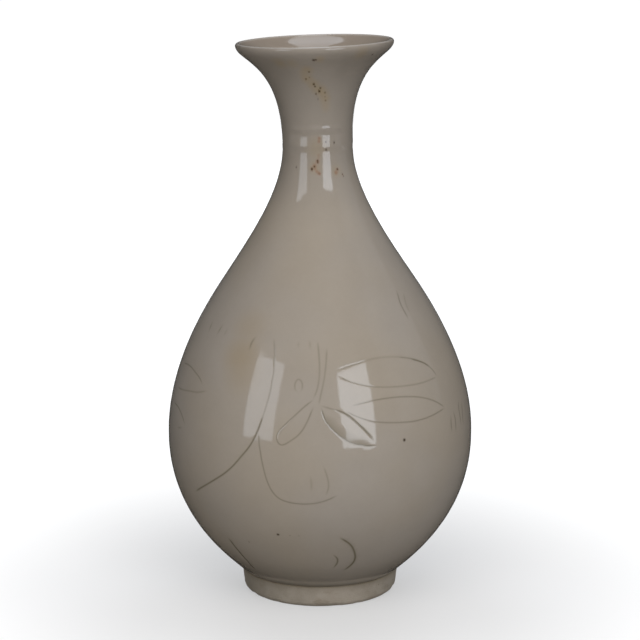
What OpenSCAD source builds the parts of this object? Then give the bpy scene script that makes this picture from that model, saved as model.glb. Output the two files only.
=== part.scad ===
// Pear-shaped bottle vase with a trumpet mouth (yuhuchunping), in glazed stoneware.
// Three thrown sections and a turned foot ring are luted together with slip,
// then coated with glaze inside and out.
// Units are millimetres. +Z is up, and the origin is the centre of the standing face of the foot.
// Every outline is a list of [radius, height] points, and is turned about the Z axis.

/* [Overall] */
// Height of the crest of the lip above the standing face
height = 300; // [285:1:330]
// Lean of the upper body towards -X from the belly seam, in degrees
body_lean = 0.45; // [0:0.05:1]
// Further lean of the neck and mouth towards -X from the neck seam, in degrees
neck_lean = 1.35; // [0:0.05:3]

/* [Mouth] */
// Height of the trumpet mouth, from the luted seam at the narrowest part of the neck to the crest of the lip
mouth_h = 54.5; // [50:0.5:60]
// Diameter over the lip
lip_d = 84; // [74:0.2:94]
// Thickness of the rounded edge of the lip, glaze included
lip_t = 2.6; // [2.2:0.1:4]
// How far the lip keeps its upright tangent below its widest ring
lip_pull = 8; // [5:0.1:10]
// Slope of the inside of the flare where it meets the lip, in degrees from upright
lip_open = 42; // [25:1:55]
// How far the inside of the flare keeps that slope below the lip
lip_draw = 6; // [4:0.5:8]

/* [Neck] */
// Diameter of the neck at its narrowest
neck_d = 37.9; // [34:0.1:46]
// Length of the straight stretch across the seam there
neck_straight = 5; // [4:0.5:8]
// How far the neck keeps its upright tangent above the straight stretch
neck_pull_up = 41.8; // [32:0.2:44]
// How far the neck keeps its upright tangent below the straight stretch
neck_pull_down = 23; // [15:1:30]

/* [Belly] */
// Diameter of the belly at its widest
belly_d = 165.4; // [150:0.2:180]
// Height of the widest ring, where the lower and upper bodies are luted
belly_z = 88; // [80:1:96]
// Length of the straight stretch across that seam
belly_straight = 2; // [1.5:0.1:4]
// How far the belly keeps its upright tangent above the straight stretch
belly_pull_up = 19; // [12:1:30]
// How far the belly keeps its upright tangent below the straight stretch
belly_pull_down = 47; // [40:1:54]
// Diameter at the steepest part of the shoulder
shoulder_d = 107; // [100:1:116]
// Height of the steepest part of the shoulder
shoulder_z = 170; // [162:1:178]
// Slope of the shoulder there, in degrees from upright
shoulder_slope = 33.2; // [28:0.2:38]
// How far the shoulder keeps that slope upwards
shoulder_pull_up = 26; // [18:1:32]
// How far the shoulder keeps that slope downwards
shoulder_pull_down = 42; // [30:1:48]

/* [Foot] */
// Height of the glaze line, where the foot ring is luted to the body
foot_h = 12; // [10:0.5:16]
// Diameter of the foot ring at its seat, where the glaze stops
foot_d = 85.6; // [76:0.2:96]
// Rise of the belly from the glaze line, in degrees from level
foot_rise = 55; // [45:1:65]
// How far the belly keeps that rise
foot_pull = 5; // [3:0.5:8]
// How far the side of the foot ring draws in towards its rounded lower edge
foot_taper = 1; // [0:0.1:2]
// Radius of the rounded lower edge
foot_round = 3.2; // [1:0.1:4]
// Thickness of the foot ring at its seat
foot_wall = 10.2; // [8:0.1:12]
// Depth of the recess under the base
recess_h = 6; // [4:0.5:8]
// Bevel inside the standing face
foot_bevel = 1; // [0.4:0.1:1.5]

/* [Walls and joints] */
// Thickness of the fired clay wall
wall = 4; // [3:0.1:5]
// Thickness of the glaze on either side
glaze_t = 0.5; // [0.3:0.05:0.8]
// Thickness of the clay floor above the foot joint
floor_t = 4; // [3:0.1:6]
// Diameter of the flat part of the floor
floor_d = 68; // [56:1:72]
// How far the round of the floor keeps its end tangents
floor_pull = 6; // [3:0.5:8]
// Share of the lower body's outline, from the foot, where that round starts
floor_share = 0.25; // [0.2:0.01:0.35]
// Height of the half lap in the belly seam
lap_h = 5; // [3:0.5:8]
// Thickness of the film of luting slip in each seam
slip_t = 0.6; // [0.4:0.05:1]

/* [Hidden] */
$fn = 96;
curve_steps = 24;
lip_steps = 8;

GLAZE_COLOUR = [0.60, 0.57, 0.52];
CLAY_COLOUR = [0.56, 0.52, 0.46];
SLIP_COLOUR = [0.50, 0.46, 0.41];

// Depths below the finished outside
clay_depth = glaze_t;
lining_depth = glaze_t + wall;
inside_depth = lining_depth + glaze_t;

// Radii and heights that the outlines share
belly_r = belly_d / 2;
neck_r = neck_d / 2;
lip_r = lip_d / 2;
belly_low = belly_z - belly_straight / 2;
belly_high = belly_z + belly_straight / 2;
neck_z = height - mouth_h;
neck_low = neck_z - neck_straight / 2;
neck_high = neck_z + neck_straight / 2;
lip_z = height - lip_t / 2;
lip_centre = [lip_r - lip_t / 2, lip_z];
lip_inside = 180 - lip_open;
floor_z = foot_h + floor_t;
seat_r = foot_d / 2;
socket_r = seat_r - foot_wall;
spigot_r = socket_r - slip_t;
ring_top = foot_h - slip_t;
lap_r = belly_r - glaze_t - wall / 2;
reach = height + belly_d;

// Outside of the finished vase: four cubic curves, each of four control points
glaze_line = [seat_r + glaze_t * sin(foot_rise), foot_h];
shoulder = [shoulder_d / 2, shoulder_z];
shoulder_way = [-sin(shoulder_slope), cos(shoulder_slope)];
lower_curve = [glaze_line, glaze_line + foot_pull * [cos(foot_rise), sin(foot_rise)],
               [belly_r, belly_low - belly_pull_down], [belly_r, belly_low]];
shoulder_curve = [[belly_r, belly_high], [belly_r, belly_high + belly_pull_up],
                  shoulder - shoulder_pull_down * shoulder_way, shoulder];
flank_curve = [shoulder, shoulder + shoulder_pull_up * shoulder_way,
               [neck_r, neck_low - neck_pull_down], [neck_r, neck_low]];
mouth_curve = [[neck_r, neck_high], [neck_r, neck_high + neck_pull_up],
               [lip_r, lip_z - lip_pull], [lip_r, lip_z]];

// Point on a cubic curve, the way it runs there, and the way into the wall
function point(c, t) =
    pow(1 - t, 3) * c[0] + 3 * t * pow(1 - t, 2) * c[1] + 3 * t * t * (1 - t) * c[2] + pow(t, 3) * c[3];
function unit(v) = v / norm(v);
function way(c, t) =
    unit(pow(1 - t, 2) * (c[1] - c[0]) + 2 * t * (1 - t) * (c[2] - c[1]) + t * t * (c[3] - c[2]));
function left(w) = [-w[1], w[0]];
function inward(c, t) = left(way(c, t));

// Points along a curve moved into the wall by a depth, from share a of the curve to its end
function layer(c, depth, a = 0) =
    [for (i = [0:curve_steps]) let (t = a + (1 - a) * i / curve_steps) point(c, t) + depth * inward(c, t)];
function backwards(list) = [for (i = [len(list) - 1:-1:0]) list[i]];
function rest(list) = [for (i = [1:len(list) - 1]) list[i]];

// Shoulder, flank and the straight stretch of the neck at one depth, above the belly
function above_belly(depth) =
    concat(layer(shoulder_curve, depth), rest(layer(flank_curve, depth)), [[neck_r - depth, neck_high]]);

// Outside of the body at one depth, from the glaze line to the neck
function body_layer(depth) = concat(layer(lower_curve, depth), above_belly(depth));

// Inside of the body at one depth, from the axis over the rounded floor to the neck
function floor_edge(depth) = [floor_d / 2, floor_z + depth - lining_depth];
function floor_end(depth) = point(lower_curve, floor_share) + depth * inward(lower_curve, floor_share);
function floor_curve(depth) =
    [floor_edge(depth), floor_edge(depth) + [floor_pull, 0],
     floor_end(depth) - floor_pull * way(lower_curve, floor_share), floor_end(depth)];
function inside_layer(depth) =
    concat([[0, floor_edge(depth)[1]]], layer(floor_curve(depth), 0),
           rest(layer(lower_curve, depth, floor_share)), above_belly(depth));

// Control points of a cubic curve with its three legs moved squarely into the wall by a depth
function mitre(m, n) = (m + n) / (1 + m * n);
function shifted(c, depth) =
    let (n = [for (i = [0:2]) left(unit(c[i + 1] - c[i]))])
    [c[0] + depth * n[0], c[1] + depth * mitre(n[0], n[1]),
     c[2] + depth * mitre(n[1], n[2]), c[3] + depth * n[2]];

// Round of the lip from one angle to another, at a depth below its finished surface
function lip_point(depth, a) = lip_centre + (lip_t / 2 - depth) * [cos(a), sin(a)];
function lip_arc(depth, from, to) =
    [for (i = [0:lip_steps]) lip_point(depth, from + (to - from) * i / lip_steps)];

// Inside of the mouth, under the full wall at the neck; its last leg runs along the flare to the lip's round
inside_mouth =
    let (c = shifted(mouth_curve, inside_depth), end = lip_point(0, lip_inside))
    [c[0], c[1], end - lip_draw * [sin(lip_open), cos(lip_open)], end];
clay_outside = shifted(mouth_curve, clay_depth);
clay_inside = shifted(inside_mouth, -glaze_t);

// Straight stretch of the neck, and a curve of the mouth above it
function mouth_layer(c) = concat([[c[0][0], neck_low]], layer(c, 0));

// The upper body leans about the centre of the belly seam, and the neck leans on about that of the neck seam
module belly_half()
    translate([0, 0, belly_z]) rotate([0, -body_lean / 2, 0]) translate([0, 0, -belly_z]) children();
module neck_half()
    translate([0, 0, neck_z]) rotate([0, -neck_lean / 2, 0]) translate([0, 0, -neck_z]) children();
module body_leaning() belly_half() belly_half() children();
module neck_seam() body_leaning() neck_half() children();
module neck_leaning() neck_seam() neck_half() children();

// All space above or below a level; a seam lies square to the middle of its bend
module above(level) translate([-reach, -reach, level]) cube(2 * reach);
module below(level) translate([-reach, -reach, level - 2 * reach]) cube(2 * reach);

// Half-lap seam of the belly: the lower body's tongue stands inside, the upper body's skirt hangs outside
seam_low = belly_z - lap_h / 2;
seam_high = belly_z + lap_h / 2;
function seam_edge(side) =
    [[0, seam_high + side * slip_t / 2], [lap_r + side * slip_t / 2, seam_high + side * slip_t / 2],
     [lap_r + side * slip_t / 2, seam_low + side * slip_t / 2], [reach, seam_low + side * slip_t / 2]];
module under_belly_seam(side)
    belly_half() rotate_extrude() polygon(concat([[0, -reach]], seam_edge(side), [[reach, -reach]]));

// Half section of the clay body, from the spigot under its base to the neck
module body_section()
    polygon(concat([[0, recess_h], [spigot_r, recess_h], [spigot_r, foot_h], [seat_r, foot_h]],
                   body_layer(clay_depth), backwards(inside_layer(lining_depth))));

// Turned ring that the vase stands on, bare of glaze
module foot_ring() {
    side_r = seat_r - foot_taper;
    edge = [for (i = [0:lip_steps]) let (a = -90 * i / lip_steps)
        [side_r - foot_round, foot_round] + foot_round * [cos(a), sin(a)]];
    color(CLAY_COLOUR) rotate_extrude()
        polygon(concat([[socket_r, ring_top], [seat_r, ring_top]], edge,
                       [[socket_r + foot_bevel, 0], [socket_r, foot_bevel]]));
}

// Slip on the seat of the foot ring and round the spigot
module foot_slip()
    color(SLIP_COLOUR) rotate_extrude()
        polygon([[spigot_r, recess_h], [socket_r, recess_h], [socket_r, ring_top],
                 [seat_r, ring_top], [seat_r, foot_h], [spigot_r, foot_h]]);

// Thrown bowl with the floor, up to the belly seam
module lower_body()
    color(CLAY_COLOUR) intersection() {
        rotate_extrude() body_section();
        under_belly_seam(-1);
    }

// Slip in the half lap of the belly seam
module belly_slip()
    color(SLIP_COLOUR) belly_half() rotate_extrude() intersection() {
        body_section();
        polygon(concat(seam_edge(-1), backwards(seam_edge(1))));
    }

// Thrown shoulder, from the belly seam to the neck seam
module upper_body()
    color(CLAY_COLOUR) difference() {
        body_leaning() rotate_extrude() body_section();
        under_belly_seam(1);
        neck_seam() above(neck_z - slip_t / 2);
    }

// Slip between the butted ends of the neck seam
module neck_slip()
    color(SLIP_COLOUR) neck_seam() translate([0, 0, neck_z - slip_t / 2]) rotate_extrude()
        translate([neck_r - lining_depth, 0]) square([wall, slip_t]);

// Thrown neck and trumpet mouth with its rounded lip
module trumpet_neck()
    color(CLAY_COLOUR) difference() {
        neck_leaning() rotate_extrude()
            polygon(concat(mouth_layer(clay_outside), rest(lip_arc(clay_depth, 0, lip_inside)),
                           rest(backwards(mouth_layer(clay_inside)))));
        neck_seam() below(neck_z + slip_t / 2);
    }

// A coat of glaze in three stretches that lean as the clay under them does, and meet amid each seam
module coat(body_outline, mouth_outline)
    color(GLAZE_COLOUR) union() {
        difference() {
            rotate_extrude() polygon(body_outline);
            belly_half() above(belly_z);
        }
        difference() {
            body_leaning() rotate_extrude() polygon(body_outline);
            belly_half() below(belly_z);
            neck_seam() above(neck_z);
        }
        difference() {
            neck_leaning() rotate_extrude() polygon(mouth_outline);
            neck_seam() below(neck_z);
        }
    }

// Glaze outside, from the glaze line to the crest of the lip
module outer_glaze()
    coat(concat(body_layer(0), backwards(body_layer(clay_depth))),
         concat(mouth_layer(mouth_curve), rest(lip_arc(0, 0, 90)),
                lip_arc(clay_depth, 90, 0), rest(backwards(mouth_layer(clay_outside)))));

// Glaze inside, from the crest of the lip to the floor
module inner_glaze()
    coat(concat(inside_layer(lining_depth), backwards(inside_layer(inside_depth))),
         concat(mouth_layer(inside_mouth), rest(lip_arc(0, lip_inside, 90)),
                lip_arc(clay_depth, 90, lip_inside), rest(backwards(mouth_layer(clay_inside)))));

foot_ring();
foot_slip();
lower_body();
belly_slip();
upper_body();
neck_slip();
trumpet_neck();
outer_glaze();
inner_glaze();
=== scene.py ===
import math

import bpy
import numpy as np
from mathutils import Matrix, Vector
from mathutils.geometry import delaunay_2d_cdt


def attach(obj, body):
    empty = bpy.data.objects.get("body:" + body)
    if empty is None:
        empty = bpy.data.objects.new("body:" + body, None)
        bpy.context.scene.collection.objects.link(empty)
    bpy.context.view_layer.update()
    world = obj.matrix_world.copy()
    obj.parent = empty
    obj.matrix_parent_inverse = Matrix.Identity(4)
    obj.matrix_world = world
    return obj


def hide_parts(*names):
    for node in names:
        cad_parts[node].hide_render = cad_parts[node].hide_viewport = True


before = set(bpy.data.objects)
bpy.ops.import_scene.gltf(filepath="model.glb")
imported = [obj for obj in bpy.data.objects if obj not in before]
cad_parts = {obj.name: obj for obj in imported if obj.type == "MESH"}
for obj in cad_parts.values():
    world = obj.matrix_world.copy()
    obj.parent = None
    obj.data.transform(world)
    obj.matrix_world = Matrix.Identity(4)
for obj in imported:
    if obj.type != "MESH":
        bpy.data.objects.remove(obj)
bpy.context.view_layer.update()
print("frame loaded:", sorted(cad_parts))

mm = 0.001


# Shader maths: a wrapped socket, so that 1 - mask or tone * 0.5 adds its Math nodes
class Wire:
    def __init__(self, tree, socket=None):
        self.tree = tree
        self.socket = socket

    # any node: its type, its settings first, then values or links for its sockets
    def node(self, kind, settings=None, inputs=None, out=0):
        made = self.tree.nodes.new(kind)
        for name, value in (settings or {}).items():
            setattr(made, name, value)
        self.feed(made, inputs or {})
        return Wire(self.tree, made.outputs[out])

    # values or links for the sockets of a node that is there
    def feed(self, made, inputs):
        for name, value in inputs.items():
            if isinstance(value, Wire):
                self.tree.links.new(value.socket, made.inputs[name])
            else:
                made.inputs[name].default_value = value

    def math(self, operation, *values):
        return self.node("ShaderNodeMath", {"operation": operation}, dict(enumerate(values)))

    def __add__(self, other):
        return self.math("ADD", self, other)

    def __radd__(self, other):
        return self.math("ADD", other, self)

    def __sub__(self, other):
        return self.math("SUBTRACT", self, other)

    def __rsub__(self, other):
        return self.math("SUBTRACT", other, self)

    def __mul__(self, other):
        return self.math("MULTIPLY", self, other)

    def __rmul__(self, other):
        return self.math("MULTIPLY", other, self)

    # a share of this value on top of a base
    def above(self, base, share):
        return base + share * self

    # smooth step of this value between two edges, from 0 to 1
    def ease(self, low, high):
        return self.node("ShaderNodeMapRange", {"interpolation_type": "SMOOTHSTEP"},
                         {0: self, 1: low, 2: high, 3: 0.0, 4: 1.0})

    # two colours, as sockets or as plain values, blended by a share
    def blend(self, first, second, share, way="MIX"):
        first, second = (c if isinstance(c, Wire) else (*c, 1) for c in (first, second))
        return self.node("ShaderNodeMix", {"data_type": "RGBA", "blend_type": way},
                         {0: share, 6: first, 7: second}, out=2)

    # this colour blended towards another by a share
    def towards(self, colour, share):
        return self.blend(self, colour, share)

    # this value as a grey
    def grey(self):
        return self.node("ShaderNodeCombineColor", None, {0: self, 1: self, 2: self})

    # this colour times a shade
    def shaded(self, shade):
        return self.blend(self, shade.grey(), 1.0, "MULTIPLY")


# sRGB 0..255 to the linear colour that a socket takes
def srgb(red, green, blue):
    share = np.array([red, green, blue]) / 255
    linear = np.where(share <= 0.04045, share / 12.92, ((share + 0.055) / 1.055) ** 2.4)
    return tuple(linear.tolist())


# A new material with its Principled shader, its tree wrapped, and its Object coordinates
def newFinish(name):
    finish = bpy.data.materials.new(name)
    finish.use_nodes = True
    shader = finish.node_tree.nodes["Principled BSDF"]
    kit = Wire(finish.node_tree)
    return finish, shader, kit, kit.node("ShaderNodeTexCoord", out="Object")


# Another surface in the place of the Principled shader
def surfaceOf(kit, shader, surface):
    kit.feed(kit.tree.nodes["Material Output"], {"Surface": surface})
    kit.tree.nodes.remove(shader)


def noise(kit, place, scale, detail, rough=0.5):
    return kit.node("ShaderNodeTexNoise", None,
                    {"Vector": place, "Scale": scale, "Detail": detail, "Roughness": rough}, out="Fac")


def cells(kit, place, scale):
    return kit.node("ShaderNodeTexVoronoi", None, {"Vector": place, "Scale": scale}, out="Distance")


# The first channels of a painted attribute
def painted(kit, name, count):
    colour = kit.node("ShaderNodeAttribute", {"attribute_name": name}, out="Color")
    return [kit.node("ShaderNodeSeparateColor", None, {0: colour}, out=i) for i in range(count)]


def heightOf(kit, place):
    return kit.node("ShaderNodeSeparateXYZ", None, {0: place}, out=2)


def lengthOf(kit, place):
    return kit.node("ShaderNodeVectorMath", {"operation": "LENGTH"}, {0: place}, out="Value")


def bumped(kit, bump, height):
    strength, distance = bump
    return kit.node("ShaderNodeBump", None, {"Strength": strength, "Distance": distance, "Height": height})


# Form of the vase in millimetres, as in its solids
form = {
    "height": 300, "bodyLean": 0.45, "neckLean": 1.35,
    "mouthHeight": 54.5, "lipWidth": 84, "lipThick": 2.6, "lipPull": 8, "lipOpen": 42, "lipDraw": 6,
    "neckWidth": 37.9, "neckStraight": 5, "neckPullUp": 41.8, "neckPullDown": 23,
    "bellyWidth": 165.4, "bellyLevel": 88, "bellyStraight": 2, "bellyPullUp": 19, "bellyPullDown": 47,
    "shoulderWidth": 107, "shoulderLevel": 170, "shoulderSlope": 33.2,
    "shoulderPullUp": 26, "shoulderPullDown": 42,
    "footHeight": 12, "footWidth": 85.6, "footRise": 55, "footPull": 5, "footTaper": 1, "footRound": 3.2,
    "footWall": 10.2, "footBevel": 1, "slip": 0.6,
    "wall": 4, "glaze": 0.5, "floorThick": 4, "floorWidth": 68, "floorPull": 6, "floorShare": 0.25,
}
neckRadius = form["neckWidth"] / 2
bellyRadius = form["bellyWidth"] / 2
lipRadius = form["lipWidth"] / 2
seatRadius = form["footWidth"] / 2
lipLevel = form["height"] - form["lipThick"] / 2
lipInside = 180 - form["lipOpen"]
neckLevel = form["height"] - form["mouthHeight"]
neckLow = neckLevel - form["neckStraight"] / 2
neckHigh = neckLevel + form["neckStraight"] / 2
insideDepth = form["wall"] + 2 * form["glaze"]


# Cubic Bezier curve of four control points, its points moved left of its run by a depth
def cubic(points, depth=0.0, start=0.0, steps=160):
    a, b, c, d = (np.array(p, float) for p in points)
    t = np.linspace(start, 1, steps + 1)[:, None]
    place = (1 - t) ** 3 * a + 3 * t * (1 - t) ** 2 * b + 3 * t * t * (1 - t) * c + t ** 3 * d
    run = (1 - t) ** 2 * (b - a) + 2 * t * (1 - t) * (c - b) + t * t * (d - c)
    run /= np.linalg.norm(run, axis=1)[:, None]
    return place + depth * np.column_stack([-run[:, 1], run[:, 0]])


# Unit way in the plane of the outline: cosine along the radius, sine up the axis
def turned(degrees):
    return np.array([math.cos(math.radians(degrees)), math.sin(math.radians(degrees))])


rise = turned(form["footRise"])
glazeLine = np.array([seatRadius + form["glaze"] * rise[1], form["footHeight"]])
bellyLow = np.array([bellyRadius, form["bellyLevel"] - form["bellyStraight"] / 2])
bellyHigh = np.array([bellyRadius, form["bellyLevel"] + form["bellyStraight"] / 2])
shoulder = np.array([form["shoulderWidth"] / 2, form["shoulderLevel"]])
shoulderWay = turned(90 + form["shoulderSlope"])
lowerCurve = [glazeLine, glazeLine + form["footPull"] * rise, bellyLow - [0, form["bellyPullDown"]], bellyLow]
shoulderCurve = [bellyHigh, bellyHigh + [0, form["bellyPullUp"]],
                 shoulder - form["shoulderPullDown"] * shoulderWay, shoulder]
flankCurve = [shoulder, shoulder + form["shoulderPullUp"] * shoulderWay,
              [neckRadius, neckLow - form["neckPullDown"]], [neckRadius, neckLow]]


# Control points of a cubic with its three legs moved left of its run by a depth, and mitred
def shifted(points, depth):
    p = np.array(points, float)
    leg = np.diff(p, axis=0) / np.linalg.norm(np.diff(p, axis=0), axis=1)[:, None]
    left = np.column_stack([-leg[:, 1], leg[:, 0]])
    mitre = (left[:-1] + left[1:]) / (1 + (left[:-1] * left[1:]).sum(axis=1))[:, None]
    return p + depth * np.vstack([left[:1], mitre, left[2:]])


# Round of the lip at a depth below its surface, from one angle to another
def lipArc(depth, fromAngle, toAngle, steps=24):
    a = np.radians(np.linspace(fromAngle, toAngle, steps + 1))[:, None]
    centre = np.array([lipRadius - form["lipThick"] / 2, lipLevel])
    return centre + (form["lipThick"] / 2 - depth) * np.column_stack([np.cos(a), np.sin(a)])


# Outside of the mouth, and its inside, which runs on along the flare to the lip's round
mouthCurve = np.array([[neckRadius, neckHigh], [neckRadius, neckHigh + form["neckPullUp"]],
                       [lipRadius, lipLevel - form["lipPull"]], [lipRadius, lipLevel]])
lipEnd = lipArc(0, lipInside, 90)[0]
insideMouth = np.array([*shifted(mouthCurve, insideDepth)[:2],
                        lipEnd - form["lipDraw"] * turned(90 - form["lipOpen"]), lipEnd])


# A turned outline with its run length: radius, level and outward way can be read at any length along it
class Outline:
    def __init__(self, *stretches, apart=1e-6):
        points = np.concatenate(stretches)
        keep = np.r_[True, np.linalg.norm(np.diff(points, axis=0), axis=1) > apart]
        self.points = points[keep]
        self.run = np.r_[0, np.cumsum(np.linalg.norm(np.diff(self.points, axis=0), axis=1))]
        self.length = self.run[-1]
        way = np.gradient(self.points, self.run, axis=0)
        self.out = np.column_stack([way[:, 1], -way[:, 0]]) / np.linalg.norm(way, axis=1)[:, None]

    def at(self, run):
        return [np.interp(run, self.run, values) for values in (*self.points.T, *self.out.T)]

    def radiusAt(self, run):
        return np.interp(run, self.run, self.points[:, 0])

    def runAt(self, level):
        return np.interp(level, self.points[:, 1], self.run)


# Outside of the vase at a depth below its surface, from the glaze line to the crest of the lip
def outsideAt(depth):
    return Outline(cubic(lowerCurve, depth), cubic(shoulderCurve, depth), cubic(flankCurve, depth),
                   cubic(shifted(mouthCurve, depth)), lipArc(depth, 0, 90))


# Inside of the vase, with a skin between it and the surface that shows
def insideAt(skin):
    depth = insideDepth - skin
    start = np.array([form["floorWidth"] / 2, form["footHeight"] + form["floorThick"] + form["glaze"] - skin])
    lower = cubic(lowerCurve, depth, form["floorShare"])
    way = (lower[1] - lower[0]) / np.linalg.norm(lower[1] - lower[0])
    floor = cubic([start, start + [form["floorPull"], 0], lower[0] - form["floorPull"] * way, lower[0]])
    return Outline([[0, start[1]]], floor, lower, cubic(shoulderCurve, depth), cubic(flankCurve, depth),
                   cubic(shifted(insideMouth, -skin)), lipArc(skin, lipInside, 90))


# Smooth step between two edges: 3 t squared less 2 t cubed
def ease(value, low, high):
    t = np.clip((value - low) / (high - low), 0, 1)
    return t * t * (3 - 2 * t)


# The axis leans a little at the belly and more at the neck: each bend is eased over a short height
axis = {"lowest": -2, "highest": 306, "step": 0.5, "bendHalf": 5.0, "rounds": 4}
levels = np.arange(axis["lowest"], axis["highest"], axis["step"])


# Lean at a level, in radians: the sum of both bends
def leanAt(level):
    half = axis["bendHalf"]
    bend = form["bodyLean"] * ease(level, form["bellyLevel"] - half, form["bellyLevel"] + half)
    return np.radians(bend + form["neckLean"] * ease(level, neckLevel - half, neckLevel + half))


stepLean = leanAt(levels[:-1] + axis["step"] / 2)
axisX = -np.r_[0, np.cumsum(np.sin(stepLean) * axis["step"])]
axisZ = levels[0] + np.r_[0, np.cumsum(np.cos(stepLean) * axis["step"])]


# Point of the leaning vase from the upright form's radius, its level, and the angle from the front, which
# is -Y, towards +X: the ring at that level is tilted with the axis
def stand(r, level, angle):
    lean = leanAt(level)
    side = r * np.sin(angle)
    x = np.interp(level, levels, axisX) + side * np.cos(lean)
    z = np.interp(level, levels, axisZ) + side * np.sin(lean)
    return np.stack(np.broadcast_arrays(x, -r * np.cos(angle), z), axis=-1) * mm


# The other way: how far a point lies beside and before the axis, and its level in the upright form
def upright(points):
    x, y, z = np.moveaxis(points, -1, 0) / mm
    level = z
    for _ in range(axis["rounds"]):
        lean = leanAt(level)
        side = (x - np.interp(level, levels, axisX)) / np.cos(lean)
        level = np.interp(z - side * np.sin(lean), axisZ, levels)
    return side, -y, level


# Point numbers of a net: rows of rings
def netOf(first, rows, columns):
    return first + np.arange(rows * columns).reshape(rows, columns)


# Quads between the rings of a net, which close round; turned over for a skin that faces the other way
def netFaces(net, flip=False):
    after = np.roll(net, -1, axis=1)
    quads = np.stack([net[:-1], after[:-1], after[1:], net[1:]], axis=-1).reshape(-1, 4)
    return quads[:, ::-1] if flip else quads


# Triangles from a ring to a point on the axis
def fanFaces(ring, pole, flip=False):
    fan = np.column_stack([np.full(len(ring), pole), ring, np.roll(ring, -1)])
    return fan[:, ::-1] if flip else fan


# A mesh object at the origin from its points and faces, smooth but for its sharp edges
def newPiece(name, points, faces, finish, node, sharpAngle=50):
    mesh = bpy.data.meshes.new(name)
    mesh.from_pydata(points.tolist(), [], [f for group in faces for f in group.tolist()])
    mesh.polygons.foreach_set("use_smooth", np.ones(len(mesh.polygons), bool))
    mesh.set_sharp_from_angle(angle=math.radians(sharpAngle))
    mesh.materials.append(finish)
    mesh.update()
    piece = bpy.data.objects.new(name, mesh)
    bpy.context.scene.collection.objects.link(piece)
    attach(piece, "root")
    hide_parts(node)
    print(name, "made:", len(points), "points,", len(mesh.polygons), "faces")
    return piece


# Values of a piece's first points as the channels of an attribute; its other points stay black
def paint(piece, name, *channels):
    colour = np.zeros((len(piece.data.vertices), 4), np.float32)
    colour[:, 3] = 1
    colour[:len(channels[0]), :len(channels)] = np.column_stack(channels)
    layer = piece.data.attributes.new(name, "FLOAT_COLOR", "POINT")
    layer.data.foreach_set("color", colour.ravel())


# Camera as in the photograph, a long lens from a little above; the last four find the places under its pixels
shot = {
    "place": (0.0, -1.182, 0.400), "aim": (0.0, 0.0, 0.1492), "lens": 125.47, "sensor": 36.0, "clipEnd": 60.0,
    "pixels": 640, "reach": (1.0, 1.33), "steps": 1200, "halvings": 24,
}
camera = bpy.data.objects.new("photoCamera", bpy.data.cameras.new("photoCamera"))
camera.data.lens = shot["lens"]
camera.data.sensor_width = shot["sensor"]
camera.data.clip_end = shot["clipEnd"]
camera.location = shot["place"]
camera.rotation_euler = (Vector(shot["aim"]) - Vector(shot["place"])).to_track_quat("-Z", "Y").to_euler()
bpy.context.scene.collection.objects.link(camera)
bpy.context.scene.camera = camera
print("camera set")

# Kinds of incised line: half width and depth in mm and how dark the glaze pools in it; a carved one also has
# a slope at the left of its run
lineKinds = {
    "fine": {"half": 0.32, "depth": 0.08, "dark": 0.42},
    "firm": {"half": 0.37, "depth": 0.13, "dark": 0.68},
    "deep": {"half": 0.4, "depth": 0.2, "dark": 0.66},
    "broad": {"half": 0.5, "depth": 0.14, "dark": 0.85},
    "faint": {"half": 0.36, "depth": 0.045, "dark": 0.3},
    "ghost": {"half": 0.5, "depth": 0.025, "dark": 0.2},
    "combed": {"half": 0.45, "depth": 0.05, "dark": 0.42},
    "carved": {"half": 0.4, "depth": 0.2, "dark": 0.66, "slopeWidth": 5.0, "slopeDepth": 0.2},
}
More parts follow.
